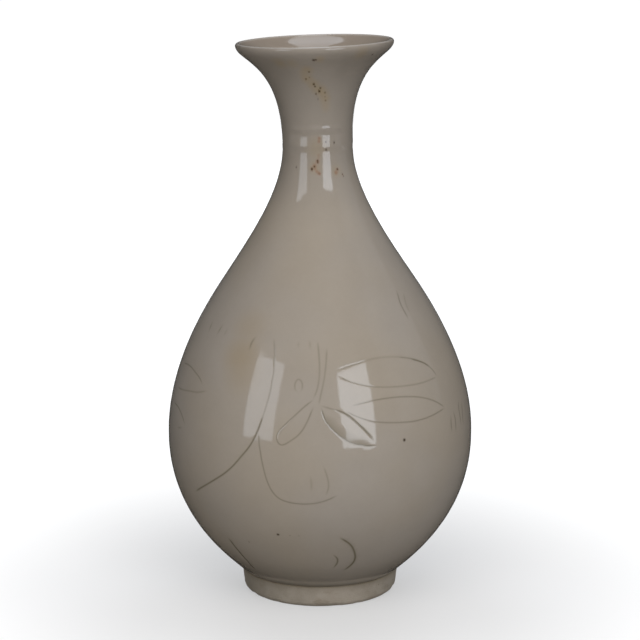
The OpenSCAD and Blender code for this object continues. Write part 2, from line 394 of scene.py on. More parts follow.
# Incised lines: the kind, and the points it runs through in pixels of the photograph
strokes = {
    "stem": [     # long and curved, at the left
        ("faint", [(273.8, 338), (274.3, 346), (274.5, 355), (274.1, 369), (272.8, 377.6), (270.7, 389.5)]),
        ("fine", [(274.3, 352), (274.1, 360.4), (273.6, 371)]),
        ("faint", [(272.8, 377.6), (270.7, 389.8), (268.7, 398), (265.6, 408.2), (260, 424.3)]),
        ("firm", [(263.6, 414), (260, 424.3), (255.9, 434.5), (249.8, 445.7), (241.6, 455.9), (229.4, 469.2),
            (215.1, 479.4), (204.9, 485.5), (195.7, 491.2)]),
    ],
    "pod": [     # round bowl beside the stem, with two short veins
        ("fine", [(258.6, 433), (258.7, 441), (260, 450.8), (263.1, 467.1), (267.1, 481.4), (272.2, 491.6),
            (279.4, 498.8), (290.6, 502.9), (302.9, 504.3), (315.1, 503.5), (327.3, 500.2), (337.6, 495.3)]),
        ("faint", [(323.3, 466.1), (327.3, 477.3), (328.4, 487.6), (325.3, 496.7)]),
        ("ghost", [(310, 475.3), (311.4, 483.5), (311, 492.7)]),
    ],
    "hangingLeaves": [     # below the flower: a slim loop at the left, a deeply cut one at the right
        ("fine", [(313.5, 399.8), (305.9, 405.5), (294.7, 415.7), (284.5, 425.3), (278, 433.1),
            (276.7, 439.6), (280.4, 444.8), (288.6, 442.2), (298.8, 434.5), (305.9, 424.3), (310, 415.1),
            (313.5, 406.9)]),
        ("faint", [(320.2, 405.9), (331.4, 409), (343.7, 413.1)]),
        ("deep", [(333, 409.4), (343.7, 413.1), (353.9, 420.2), (364.1, 429.4), (374.3, 440.2)]),
        ("carved", [(321.2, 408), (324.3, 418.2), (331.4, 428.4), (340.6, 436.5), (349.8, 442.2),
            (362, 445.3), (376.7, 446.3)]),
    ],
    "longLeaves": [     # at the right, the upper and the lower
        ("fine", [(337.1, 369.6), (351.8, 365.1), (367, 360.4)]),
        ("ghost", [(351.8, 365.1), (372.2, 359), (390.6, 356.9), (409, 358.2), (425.3, 363.5)]),
        ("fine", [(396, 357), (409, 358.2), (425.3, 363.5), (435.2, 373), (437.6, 376.9)]),
        ("firm", [(409, 358.2), (417.5, 360.5), (425.3, 363.5), (431.5, 368)]),
        ("fine", [(337.1, 375.7), (349.8, 381.4), (368.2, 385.9), (378, 386.8)]),
        ("faint", [(349.8, 381.4), (368.2, 385.9), (386.5, 387.1), (404.9, 385.9), (423.3, 382.4),
            (436.9, 376.5)]),
        ("fine", [(351.8, 405.9), (372.2, 400.8), (390.6, 397.8), (413.1, 396.7), (431.4, 399.8),
            (441.6, 404.9), (445.1, 407.6)]),
        ("fine", [(344.7, 411), (358, 417.1), (374.3, 421.6), (394.7, 422.7), (415.1, 421.2), (431.4, 416.1),
            (445.1, 408)]),
    ],
    "petals": [     # faint, with a bud
        ("faint", [(317.6, 340.6), (319.2, 359), (319.2, 377.3), (316.7, 390.6), (313.1, 399.4)]),
        ("faint", [(326.9, 347.8), (325.7, 367.1), (323.3, 383.5), (320.2, 397.8), (318.8, 405.9)]),
        ("faint", [(299.9, 392), (301.8, 389.2), (302.3, 385.2), (301.1, 381), (298.5, 379.3),
            (295.8, 381.7), (294.7, 386), (295.8, 390.4), (298, 392.2)]),
        ("ghost", [(298.8, 340), (298.4, 344.6), (298.5, 349)]),
        ("ghost", [(309.5, 339), (310, 344.8), (311, 350)]),
        ("combed", [(256.7, 336), (252.4, 341), (250, 347), (249, 351.3)]),
    ],
    "leftLeaves": [     # at the left edge
        ("fine", [(184, 362.8), (190.6, 366.8), (195.7, 373), (200.8, 380.6), (202.3, 384.7)]),
        ("faint", [(177.8, 386.7), (182.4, 389.8), (190.6, 391.3), (196.7, 392.3), (206.9, 390.8)]),
        ("fine", [(173.8, 402), (177.9, 407.1), (181.4, 414.3), (183.6, 421), (184.6, 425)]),
        ("faint", [(177, 427.5), (179.6, 427.8), (182, 427.5)]),
    ],
    "combing": [     # at the shoulder's left and right, and at the right edge
        ("combed", [(212.6, 320.7), (210.7, 326), (208.3, 332.2)]),
        ("combed", [(223.2, 323.6), (220, 329), (216.5, 335.1)]),
        ("ghost", [(227.5, 327.4), (225.6, 332), (223.2, 337)]),
        ("combed", [(396.3, 289.8), (398.3, 296), (400.5, 303.4), (403.8, 310), (408.7, 319.2)]),
        ("ghost", [(403.6, 292.3), (406.3, 304.7), (410.3, 313.2)]),
        ("combed", [(451.1, 414), (451.5, 424.8), (452.4, 433)]),
        ("combed", [(453.3, 410.6), (455.3, 418.1), (456, 424.8), (456.2, 432.6)]),
        ("combed", [(458.4, 399.5), (459.1, 409.1), (460.5, 418.1), (461, 425.2)]),
        ("combed", [(461.8, 400), (462.5, 411.4), (463.6, 425.3)]),
        ("ghost", [(465, 401.5), (465.2, 407.6), (465.4, 413.6)]),
    ],
    "footPetals": [     # tips above the foot
        ("broad", [(228, 537.7), (234.6, 546.5), (241.9, 555.3), (247.8, 561.9), (255.5, 570.5)]),
        ("broad", [(339.3, 537.7), (344.6, 540.7), (350.5, 545.1), (354.2, 551.7), (354.9, 559),
            (351.2, 564.9), (343.2, 570.7)]),
        ("firm", [(332.9, 554.6), (337.3, 559), (336.6, 564.1), (332.9, 568.5)]),
    ],
}
# Iron specks: pixel of the photograph, radius in mm and strength; rusts and halos the same, wider and weaker
specks = [
    (313.6, 60.2, 0.8, 0.9), (315.6, 60, 0.7, 0.8), (309, 72, 0.55, 0.6), (306, 79, 0.5, 0.6),
    (309.5, 77.5, 0.4, 0.35), (313.8, 84.2, 0.6, 0.8), (315, 86.5, 0.5, 0.7), (320.3, 88, 0.5, 0.7),
    (319.4, 91.3, 0.6, 0.9), (316, 94, 0.5, 0.6), (318.6, 90, 0.35, 0.5), (325, 92.5, 0.5, 0.45),
    (325.5, 100.5, 0.45, 0.4), (318, 99, 0.4, 0.35), (325, 96.7, 0.35, 0.3), (372.5, 54.7, 0.55, 0.75),
    (325.9, 142, 0.5, 0.6), (334.2, 142.6, 0.5, 0.7), (326.2, 149.7, 0.6, 0.6), (296.3, 167.2, 0.45, 0.6),
    (317.6, 160.8, 0.5, 0.75), (317.7, 162.5, 0.45, 0.6), (314.4, 166.6, 0.5, 0.7),
    (311.9, 169.1, 0.6, 0.85), (337.4, 169.1, 0.5, 0.7), (342.5, 174.2, 0.4, 0.55),
    (343.6, 176.2, 0.35, 0.45), (319.2, 173.7, 0.4, 0.3), (404.5, 440, 0.75, 0.95), (278, 534.6, 0.7, 0.9),
    (249, 542, 0.5, 0.3), (290, 535.7, 0.4, 0.25), (298.8, 536, 0.4, 0.2),
]
rusts = [
    (317.6, 161.6, 1.1, 0.5), (314.5, 166.2, 1.1, 0.5), (312, 169, 0.9, 0.4), (315, 168.7, 0.8, 0.45),
    (316.8, 171.5, 0.8, 0.5), (318.6, 173, 0.9, 0.6), (319.6, 173.8, 0.8, 0.6), (337.3, 169.6, 0.9, 0.45),
    (336.1, 172.6, 1.0, 0.55), (337, 172.3, 0.7, 0.4), (342.8, 174.8, 0.7, 0.25), (319.2, 138.5, 0.8, 0.55),
    (319, 141.4, 0.8, 0.5), (318.6, 155.5, 0.8, 0.25), (318.4, 158, 0.7, 0.22),
]
halos = [
    (307, 70, 2.6, 0.6), (305, 74, 2.4, 0.5), (307.5, 78.5, 2.6, 0.6), (313.5, 84.5, 2.6, 0.6),
    (317, 89, 2.4, 0.6), (320, 90.5, 2.6, 0.7), (323, 94, 2.4, 0.65), (325, 98.5, 2.4, 0.6),
    (325.5, 107, 2, 0.35), (280, 63, 3.5, 0.4), (291.5, 63.5, 3, 0.3), (362, 53.5, 3.5, 0.35),
    (320, 59.5, 2.2, 0.5), (317.5, 149, 5, 0.35), (315, 167, 3, 0.35), (336.5, 171, 2.6, 0.3),
    (241.5, 357, 9, 0.5), (241.5, 369.5, 9, 0.35), (248, 327.5, 8, 0.28), (252.5, 344.5, 2.5, 0.3),
]

coat = {
    "columns": 240, "rows": 200, "backRows": 44, "backDepth": 0.42, "endRound": 0.9, "inset": 0.005,
    "sheetRadius": 75.0,             # mm, of the flat sheet that the lines are drawn on
    "seam": 89.0,                    # degrees, in the bare gap between front and back
    "backTurn": (-0.97, -180.0),     # degrees of the back's scroll: factor and start
    "backLevel": (0.985, 0.5),       # its height: factor and start
    "strip": (-0.9, -0.55, -0.34, -0.17, 0, 0.17, 0.34, 0.55, 0.9),
    "slopeStrip": (-1.4, -2, -2.7, -3.4, -4.1, -4.8, -5.4), "slopeEnds": 9, "slopeTone": 0.36,
    "station": 0.7, "cell": 0.15, "clear": 1.1, "margin": (1.2, 0.6), "snap": 1e-5, "weld": 1e-4,
    "leastStations": 3, "cellShifts": (0.0, 0.5), "lineReach": 6, "lineEnds": (-0.6, 4.0), "stain": 1.25,
    "spotRings": (0.001, 0.5, 1.0, 1.7), "spotPoints": 8, "ironSoft": 0.5, "rustSoft": 0.6, "haloSoft": 0.95,
    # mm of run: the pale crest of the lip, and the dark foot line of pooled glaze and painted shadow in the
    # crease
    "lipPale": (0.3, 1.6), "footDark": (0.3, 5.5),
    # where rows crowd: level, further run, reach, power and weight
    "crowds": [(form["footHeight"], 0, 3, 2, 5), (lipLevel, 2, 3.5, 2, 4), (250, 0, 9, 4, 4.5)],
    # thrower's rings: pitch, phase, sway, turns and lag of the sway, share; swell: turns, pitch, phase, share
    "throwing": 0.014, "throwWaves": [(0.62, 0, 0.7, 1, 0.5, 1), (1.13, 1.3, 1, 2, 0, 0.7)],
    "wobble": 0.05, "swellWaves": [(2, 0.031, 0, 1), (3, -0.045, 1.1, 0.6), (1, 0.11, 0, 0.5)],
    "calmFoot": 8, "calmLip": 10,
    # ridges at the neck: level and lift, how soft they are, how they tilt, and how they fade behind
    "neckRings": [(243.6, 0), (246, 0.07), (252, -0.27), (255, 0.06), (257.6, -0.13), (263.5, 0)],
    "ringSoft": 0.3, "ringTilt": (1.1, -0.4), "ringBehind": 0.15, "ringFront": (0.6, 0.85),
}
outside = outsideAt(0)
sheetRadius = coat["sheetRadius"]
seam = math.radians(coat["seam"])
glazeTurn = np.linspace(seam - 2 * math.pi, seam, coat["columns"] + 1)


# Places on the glaze under pixels of the photograph, as degrees from the front and level: each ray is
# stepped from the camera until it is inside the outline, or nearest to it, and that step is halved down
# to the surface
def placesUnder(pixels):
    across, down = np.array(pixels, float).T[:, :, None] - shot["pixels"] / 2
    eye, aim = np.array(shot["place"]), np.array(shot["aim"])
    ahead = (aim - eye) / np.linalg.norm(aim - eye)
    right = np.array([1.0, 0.0, 0.0])
    focal = shot["lens"] / shot["sensor"] * shot["pixels"]
    way = focal * ahead + across * right - down * np.cross(right, ahead)
    way /= np.linalg.norm(way, axis=1)[:, None]

    def gapAt(reach):
        side, front, level = upright(eye + reach[..., None] * way[:, None])
        return np.hypot(side, front) - outside.radiusAt(outside.runAt(level))

    steps = np.linspace(*shot["reach"], shot["steps"])
    gaps = gapAt(np.broadcast_to(steps, (len(way), len(steps))))
    within = gaps < 0
    first = np.where(within.any(axis=1), within.argmax(axis=1), gaps.argmin(axis=1))
    near, far = steps[first - 1][:, None], steps[first][:, None]
    for _ in range(shot["halvings"]):
        middle = (near + far) / 2
        hit = gapAt(middle) < 0
        near, far = np.where(hit, near, middle), np.where(hit, middle, far)
    side, front, level = upright(eye + far[..., None] * way[:, None])
    return np.column_stack([np.degrees(np.arctan2(side, front)), level])


# Spots as degrees, level, radius and strength
def spotsOn(marks):
    marks = np.array(marks)
    return np.column_stack([placesUnder(marks[:, :2]), marks[:, 2:]])


# The unseen back carries the same scroll, drawn the other way round and a little lower
def behind(places):
    factor, start = np.array([coat["backTurn"], coat["backLevel"]]).T
    return places[::-1] * factor + start


# Width on the vase of one mm across the sheet
def shrinkAt(run):
    return outside.radiusAt(run) / sheetRadius


# Smooth line through its points: a natural cubic spline over their distances on the vase, then stations at
# equal lengths
def stationsOf(places):
    p = np.column_stack([np.radians(places[:, 0]) * sheetRadius, outside.runAt(places[:, 1])])
    leg = np.diff(p, axis=0)
    h = np.hypot(leg[:, 0] * shrinkAt(p[1:, 1]), leg[:, 1])
    knots = np.r_[0, np.cumsum(h)]
    inner = np.arange(1, len(p) - 1)
    rows = np.eye(len(p))
    rows[inner, inner - 1] = h[:-1]
    rows[inner, inner] = 2 * (h[:-1] + h[1:])
    rows[inner, inner + 1] = h[1:]
    bends = 6 * np.diff(leg / h[:, None], axis=0)
    bend = np.linalg.solve(rows, np.vstack([[[0, 0]], bends, [[0, 0]]]))
    count = max(coat["leastStations"], int(knots[-1] / coat["station"]) + 1)
    stops = np.linspace(0, knots[-1], count)
    i = np.clip(np.searchsorted(knots, stops, "right") - 1, 0, len(h) - 1)
    before = (stops - knots[i])[:, None]
    after = (knots[i + 1] - stops)[:, None]
    span = h[i][:, None]
    line = (bend[i] * after ** 3 + bend[i + 1] * before ** 3) / (6 * span)
    line += (p[i] / span - bend[i] * span / 6) * after + (p[i + 1] / span - bend[i + 1] * span / 6) * before
    return line, stops


# Strip of points beside a line: each station carried sideways by the strip's offsets
def stripOf(kind, line):
    shrink = shrinkAt(line[:, 1])[:, None]
    way = np.gradient(line, axis=0)
    way[:, :1] *= shrink
    way /= np.linalg.norm(way, axis=1)[:, None]
    sloped = "slopeWidth" in kind
    offset = np.array(coat["strip"] + coat["slopeStrip"] * sloped)
    u = line[:, :1] + offset * way[:, 1:] / shrink
    v = line[:, 1:] - offset * way[:, :1]
    return np.stack([u, v], axis=-1).reshape(-1, 2)


# Rings of points about each speck, at shares of its radius
def ringsOf(spots):
    degrees, level, radius, _ = spots.T[:, :, None, None]
    count = coat["spotPoints"]
    turn = np.arange(count) * 2 * math.pi / count
    share, turn = np.meshgrid(coat["spotRings"], turn, indexing="ij")
    run = outside.runAt(level)
    u = np.radians(degrees) * sheetRadius + radius * share * np.cos(turn) / shrinkAt(run)
    return np.stack([u, run + radius * share * np.sin(turn)], axis=-1).reshape(-1, 2)


# Slope at the left of a carved line: deepest at the line, level at its width, narrower towards its ends
def slopeBeside(kind, leg, toPoint, away, toEnd):
    share = ease(toEnd, 0, coat["slopeEnds"])
    left = leg[:, 0] * toPoint[:, 1] > leg[:, 1] * toPoint[:, 0]
    return left * np.clip(share - away / kind["slopeWidth"], 0, 1)


# How deep and how dark the incised lines are at points of the sheet, and how near the nearest one is: each
# has a bell profile about the nearest place on it, faded at its ends, and the deepest wins
def incised(sheet, lines):
    depth = np.zeros(len(sheet))
    tone = np.zeros(len(sheet))
    near = np.full(len(sheet), np.inf)
    reach = coat["lineReach"]
    for kind, line, stops in lines:
        boxed = (sheet > line.min(axis=0) - reach) & (sheet < line.max(axis=0) + reach)
        pick = np.flatnonzero(boxed.all(axis=1))
        each = np.arange(len(pick))
        shrink = np.column_stack([shrinkAt(sheet[pick, 1]), np.ones(len(pick))])[:, None]
        leg = np.diff(line, axis=0) * shrink
        toPoint = (sheet[pick][:, None] - line[:-1]) * shrink
        t = np.clip((toPoint * leg).sum(axis=-1) / (leg ** 2).sum(axis=-1), 0, 1)
        away = np.linalg.norm(toPoint - t[..., None] * leg, axis=-1)
        best = away.argmin(axis=1)
        away = away[each, best]
        along = stops[best] + t[each, best] * stops[1]
        toEnd = np.minimum(along, stops[-1] - along)
        taper = ease(toEnd, *coat["lineEnds"])
        cut = kind["depth"] * taper * np.exp(-(away / kind["half"]) ** 2)
        stain = kind["dark"] * taper * np.exp(-(away / (kind["half"] * coat["stain"])) ** 2)
        if "slopeWidth" in kind:
            slope = slopeBeside(kind, leg[each, best], toPoint[each, best], away, toEnd)
            cut = np.maximum(cut, kind["slopeDepth"] * slope)
            stain = np.maximum(stain, coat["slopeTone"] * slope)
        depth[pick] = np.maximum(depth[pick], cut)
        tone[pick] = np.maximum(tone[pick], stain)
        near[pick] = np.minimum(near[pick], away)
    return depth, tone, near


# Strength of round spots at points of the sheet: full inside the radius, soft at its edge
def spotted(sheet, spots, soft):
    strength = np.zeros(len(sheet))
    r = outside.radiusAt(sheet[:, 1])
    for degrees, level, radius, weight in spots:
        across = (sheet[:, 0] / sheetRadius - math.radians(degrees)) * r
        away = np.hypot(across, sheet[:, 1] - outside.runAt(level))
        spot = 1 - ease(away, radius * (1 - soft), radius * (1 + soft))
        strength = np.maximum(strength, weight * spot)
    return strength


# Fewer points where they crowd: the first one in each small cell of the sheet stays, for two sets of cells
def thinned(sheet):
    for shift in coat["cellShifts"]:
        place = np.column_stack([sheet[:, 0] * shrinkAt(sheet[:, 1]), sheet[:, 1]])
        key = np.floor(place / coat["cell"] + shift).astype(np.int64)
        sheet = sheet[np.sort(np.unique(key, axis=0, return_index=True)[1])]
    return sheet


# Rows of the coat: close together at the foot line, the neck rings and the lip, each crowd a bell
def coatRows(count, samples=4000):
    run = np.linspace(0, outside.length, samples)
    dense = np.ones(samples)
    for level, further, reach, power, weight in coat["crowds"]:
        dense += weight * np.exp(-((run - outside.runAt(level) - further) / reach) ** power)
    total = np.cumsum(dense)
    return np.interp(np.linspace(total[0], total[-1], count), total, run)


# Outward lift of the surface: sines along the run for the thrower's rings, sines round and along it for the
# swell of the hand, both calm at the ends, and the two ridges at the neck
def liftOf(angle, run, level):
    throw = sum(share * np.sin(run * pitch + phase + sway * np.sin(turns * angle + lag))
                for pitch, phase, sway, turns, lag, share in coat["throwWaves"])
    swell = sum(share * np.sin(turns * angle + run * pitch + phase)
                for turns, pitch, phase, share in coat["swellWaves"])
    calm = ease(run, 0, coat["calmFoot"]) * ease(outside.length - run, 0, coat["calmLip"])
    heights, lifts = np.array(coat["neckRings"]).T
    spot = np.interp(level, heights, np.arange(len(heights)))
    low = np.floor(spot).astype(int).clip(0, len(lifts) - 2)
    soft = coat["ringSoft"]
    share = soft * ease(spot - low, 0, 1) + (1 - soft) * (spot - low)
    middle, tilt = coat["ringTilt"]
    faded = coat["ringBehind"]
    ridge = lifts[low] + (lifts[low + 1] - lifts[low]) * share
    ridge *= middle + tilt * np.sin(angle)
    ridge *= faded + (1 - faded) * ease(np.cos(angle), *coat["ringFront"])
    hand = coat["throwing"] * throw + coat["wobble"] * (swell - 1)
    return calm * hand + ridge - coat["inset"]


# Points and triangles of the (angle, run) sheet: grid rows and columns, with finer strips along the lines and
# rings about the spots, joined by Delaunay triangles and welded at the seam
def glazeSheet(lines, spots):
    low, high = glazeTurn[0] * sheetRadius, glazeTurn[-1] * sheetRadius
    u, v = np.meshgrid(glazeTurn * sheetRadius, coatRows(coat["rows"]))
    grid = np.column_stack([u.ravel(), v.ravel()])
    edge = np.ones(u.shape, bool)
    edge[1:-1, 1:-1] = False
    edge = edge.ravel()
    inner = grid[~edge]
    inner = inner[incised(inner, lines)[2] > coat["clear"]]
    strips = np.concatenate([stripOf(kind, line) for kind, line, _ in lines] + [ringsOf(spots)])
    aside, above = coat["margin"]
    within = (strips[:, 0] > low + aside) & (strips[:, 0] < high - aside)
    within &= (strips[:, 1] > above) & (strips[:, 1] < outside.length - above)
    crowd = thinned(np.concatenate([strips[within], inner]))
    made = delaunay_2d_cdt(np.concatenate([grid[edge], crowd]).tolist(), [], [], 0, coat["snap"], False)
    sheet, faces = np.array(made[0]), np.array(made[2])

    right = np.flatnonzero(sheet[:, 0] > high - coat["weld"])
    left = np.flatnonzero(sheet[:, 0] < low + coat["weld"])
    weld = np.arange(len(sheet))
    weld[right[np.argsort(sheet[right, 1])]] = left[np.argsort(sheet[left, 1])]
    used = np.unique(weld)
    order = np.zeros(len(sheet), int)
    order[used] = np.arange(len(used))
    return sheet[used], order[weld[faces]]


# Outer coat: the sheet carried onto the vase, cut by the lines and rounded over its lower end; a plain skin
# behind it closes the shell
def makeGlaze(finish):
    drawn = [stroke for group in strokes.values() for stroke in group]
    paths = [(lineKinds[name], placesUnder(pixels)) for name, pixels in drawn]
    paths += [(kind, behind(places)) for kind, places in paths]
    lines = [(kind, *stationsOf(places)) for kind, places in paths]
    iron, rust, halo = (spotsOn(marks) for marks in (specks, rusts, halos))
    sheet, faces = glazeSheet(lines, np.concatenate([iron, rust]))

    angle, run = sheet[:, 0] / sheetRadius, sheet[:, 1]
    r, level, outR, outZ = outside.at(run)
    cut, tone, _ = incised(sheet, lines)
    below = np.clip(1 - run / form["glaze"], 0, 1)
    rounding = coat["endRound"] * form["glaze"] * (1 - np.sqrt(1 - below ** 2))
    lift = liftOf(angle, run, level) - cut - rounding
    front = stand(r + outR * lift, level + outZ * lift, angle)

    back = outsideAt(coat["backDepth"])
    backR, backLevel, _, _ = back.at(np.linspace(0, back.length, coat["backRows"])[:, None])
    skin = stand(backR, backLevel, glazeTurn[None, :-1]).reshape(-1, 3)
    net = netOf(len(front), coat["backRows"], coat["columns"])
    low = np.flatnonzero(run < coat["weld"])
    high = np.flatnonzero(run > outside.length - coat["weld"])
    low, high = (ring[np.argsort(angle[ring])] for ring in (low, high))
    bottom = netFaces(np.vstack([low, net[0]]), flip=True)
    top = netFaces(np.vstack([high, net[-1]]))
    faces = [faces, netFaces(net, flip=True), bottom, top]
    piece = newPiece("vase_glaze", np.concatenate([front, skin]), faces, finish, "outer_glaze")

    paint(piece, "marks", tone, spotted(sheet, iron, coat["ironSoft"]),
          spotted(sheet, rust, coat["rustSoft"]))
    # edges: the pale crest of the lip, the dark foot line of pooled glaze and painted shadow, and the halos
    paint(piece, "edges", 1 - ease(outside.length - run, *coat["lipPale"]),
          1 - ease(run, *coat["footDark"]), spotted(sheet, halo, coat["haloSoft"]))


# Warm grey glaze: cloudy body, brown where it pools in lines; darker low on the body and along the foot from
# pooled glaze and painted shade and shadow, darker up the neck as painted shade, pale along the crest of the
# lip;
# noises are scale, detail and roughness, ranges of height are in metres
glazeFinish = {
    "body": srgb(157, 148, 137), "warm": srgb(157, 147, 132), "cool": srgb(156, 149, 140), "bodyShare": 0.45,
    "drift": (13, 2), "driftEdge": (0.36, 0.64), "cloud": (55, 3, 0.6), "grain": (520, 2),
    "shade": (0.93, 0.10), "grainShade": 0.04,     # base and share of cloud, then share of grain
    # painted shade: the glaze darkens up the neck and mouth, rising between these heights in metres
    "neck": srgb(141, 133, 123), "neckShadeFrom": (0.2, 0.25), "neckShadeShare": 0.9,
    # darker low on the body, below these heights in metres: pooled glaze and painted shade
    "footShade": srgb(108, 101, 89), "footFrom": (0.012, 0.034), "footShare": 0.38,
    # a dark line along the foot: pooled glaze and painted shadow in the crease
    "footLine": srgb(86, 79, 68), "footLineShare": 0.8,
    "halo": srgb(150, 128, 88), "haloShare": 0.7, "haloCloud": (0.6, 0.8),
    "pool": srgb(90, 82, 58), "poolCloud": (0.75, 0.5),
    "rust": srgb(132, 86, 58), "rustShare": 0.85, "iron": srgb(54, 38, 24),
    "lip": srgb(203, 198, 192), "lipShare": 0.7,
    "rough": (0.055, 0.03), "lineRough": 0.08, "ironRough": 0.1,     # the same, then shares of line and iron
    "peel": (900, 2), "peelShare": 0.5, "pits": 240.0, "pitEdge": (0.02, 0.2), "bump": (0.12, 0.00003),
    "ior": 1.5,
}


def makeGlazeFinish():
    finish, shader, kit, place = newFinish("warm_grey_glaze")
    look = glazeFinish
    line, iron, rust = painted(kit, "marks", 3)
    lip, low, halo = painted(kit, "edges", 3)
    height = heightOf(kit, place)
    drift = noise(kit, place, *look["drift"]).ease(*look["driftEdge"])
    cloud, grain, peel = (noise(kit, place, *look[name]) for name in ("cloud", "grain", "peel"))
    pits = cells(kit, place, look["pits"]).ease(*look["pitEdge"])

    colour = kit.blend(look["warm"], look["cool"], drift).towards(look["body"], look["bodyShare"])
    # painted shade, darker up the neck and mouth
    colour = colour.towards(look["neck"], height.ease(*look["neckShadeFrom"]) * look["neckShadeShare"])
    colour = colour.shaded(cloud.above(*look["shade"]) + look["grainShade"] * grain)
    # pooled glaze and painted shade low on the body
    colour = colour.towards(look["footShade"], (1 - height.ease(*look["footFrom"])) * look["footShare"])
    # pooled glaze and painted shadow along the foot line
    colour = colour.towards(look["footLine"], low * look["footLineShare"])
    colour = colour.towards(look["halo"], halo * cloud.above(*look["haloCloud"]) * look["haloShare"])
    colour = colour.towards(look["pool"], line * cloud.above(*look["poolCloud"]))
    colour = colour.towards(look["rust"], rust * look["rustShare"])
    colour = colour.towards(look["iron"], iron)
    colour = colour.towards(look["lip"], lip * look["lipShare"])
    rough = cloud.above(*look["rough"]) + look["lineRough"] * line + look["ironRough"] * iron
    bump = bumped(kit, look["bump"], peel * look["peelShare"] + pits)
    kit.feed(shader, {"Base Color": colour, "Roughness": rough, "Normal": bump, "IOR": look["ior"]})
    return finish


makeGlaze(makeGlazeFinish())

# Inside coat: its rows crowd towards the mouth, and a swell and throwing rings are calm at its ends
lining = {
    "columns": 240, "rows": 120, "backRows": 40, "backDepth": 0.42, "inset": 0.005, "crowding": 2.2,
    "wobble": 0.05, "calmFloor": (4, 20), "calmLip": (0.5, 8),
    "swell": (3, 0.04), "throwing": (0.8, 0.6),     # turns and pitch; pitch and share
    # painted shade: the inside darkens downwards into the mouth, between these levels in mm
    "lipPale": (0.4, 2.0), "hollowShadeLevels": (215, 275),
    "body": srgb(157, 146, 134), "hollowShade": srgb(130, 118, 105), "lip": srgb(203, 198, 192), "lipShare": 0.65,
    "cloud": (60, 3, 0.6), "shade": (0.92, 0.16), "rough": (0.05, 0.06),     # base, and share of cloud
    "peel": (700, 2), "bump": (0.25, 0.00003),
}


# Turned outline from the floor's centre up to the crest of the lip, lifted by sines round and along it, with
# a second skin against the clay; each skin closes on the axis with a fan
def makeLining(finish):
    rows, backRows, columns = lining["rows"], lining["backRows"], lining["columns"]
    turn = np.linspace(-math.pi, math.pi, columns + 1)[None, :-1]
    face = insideAt(0)
    wall = insideAt(lining["backDepth"])
    share = 1 - np.linspace(1, 0, rows + 1)[1:] ** lining["crowding"]
    run = (share * face.length)[:, None]
    r, level, outR, outZ = face.at(run)
    calm = ease(run, *lining["calmFloor"]) * ease(face.length - run, *lining["calmLip"])
    turns, pitch = lining["swell"]
    throwPitch, throwShare = lining["throwing"]
    wave = np.sin(turns * turn + run * pitch) + throwShare * np.sin(run * throwPitch + np.sin(turn))
    lift = lining["wobble"] * calm * wave + lining["inset"]
    front = stand(r + outR * lift, level + outZ * lift, turn)
    backR, backLevel, _, _ = wall.at(np.linspace(0, wall.length, backRows + 1)[1:, None])
    skin = stand(backR, backLevel, turn)
    poles = stand(np.zeros(2), np.array([face.points[0, 1], wall.points[0, 1]]), np.zeros(2))

    net = netOf(0, rows, columns)
    backNet = netOf(net.size, backRows, columns)
    pole = net.size + backNet.size
    crest = np.vstack([net[-1], backNet[-1]])
    faces = [fanFaces(net[0], pole, flip=True), fanFaces(backNet[0], pole + 1), netFaces(net, flip=True),
             netFaces(backNet), netFaces(crest, flip=True)]
    points = np.concatenate([front.reshape(-1, 3), skin.reshape(-1, 3), poles])
    piece = newPiece("vase_lining", points, faces, finish, "inner_glaze")
    lip = 1 - ease(face.length - run[:, 0], *lining["lipPale"])
    # painted shade deep in the mouth
    hollowShade = 1 - ease(level[:, 0], *lining["hollowShadeLevels"])
    paint(piece, "edges", np.repeat(lip, columns), np.repeat(hollowShade, columns))


def makeLiningFinish():
    finish, shader, kit, place = newFinish("inside_glaze")
    lip, hollowShade = painted(kit, "edges", 2)
    cloud, peel = (noise(kit, place, *lining[name]) for name in ("cloud", "peel"))
    # painted shade deeper in the mouth
    colour = kit.blend(lining["body"], lining["hollowShade"], hollowShade).shaded(cloud.above(*lining["shade"]))
    colour = colour.towards(lining["lip"], lip * lining["lipShare"])
    bump = bumped(kit, lining["bump"], peel)
    kit.feed(shader, {"Base Color": colour, "Roughness": cloud.above(*lining["rough"]), "Normal": bump})
    return finish


makeLining(makeLiningFinish())

# Bare fired clay and slip: sandy grain, iron grit, and stains that gather under the glaze line
clay = {
    "bare": {"body": srgb(149, 140, 126), "pale": srgb(163, 153, 139), "stain": srgb(110, 97, 78)},
    "slip": {"body": srgb(138, 126, 106), "pale": srgb(150, 138, 118), "stain": srgb(100, 88, 68)},
    "cloud": (70, 4, 0.6), "cloudEdge": (0.35, 0.65), "sand": (1500, 3, 0.7), "shade": (0.86, 0.28),
    "smear": (80, 4, 0.6), "smearStretch": (1, 1, 2.2), "smearEdge": (0.5, 0.74), "smearShare": 0.35,
    "stainFrom": (0.0075, 0.0125), "stainShare": 0.35,
    "grit": srgb(86, 74, 58), "gritScale": 330.0, "gritEdge": (0.1, 0.24), "gritShare": 0.8,
    "rare": (120, 1), "rareEdge": (0.56, 0.66),
    "rough": (0.78, 0.15),     # base, and share of sand, as for the shade
    "bump": (0.6, 0.0001), "smearBump": 0.6, "specular": 0.3,
}


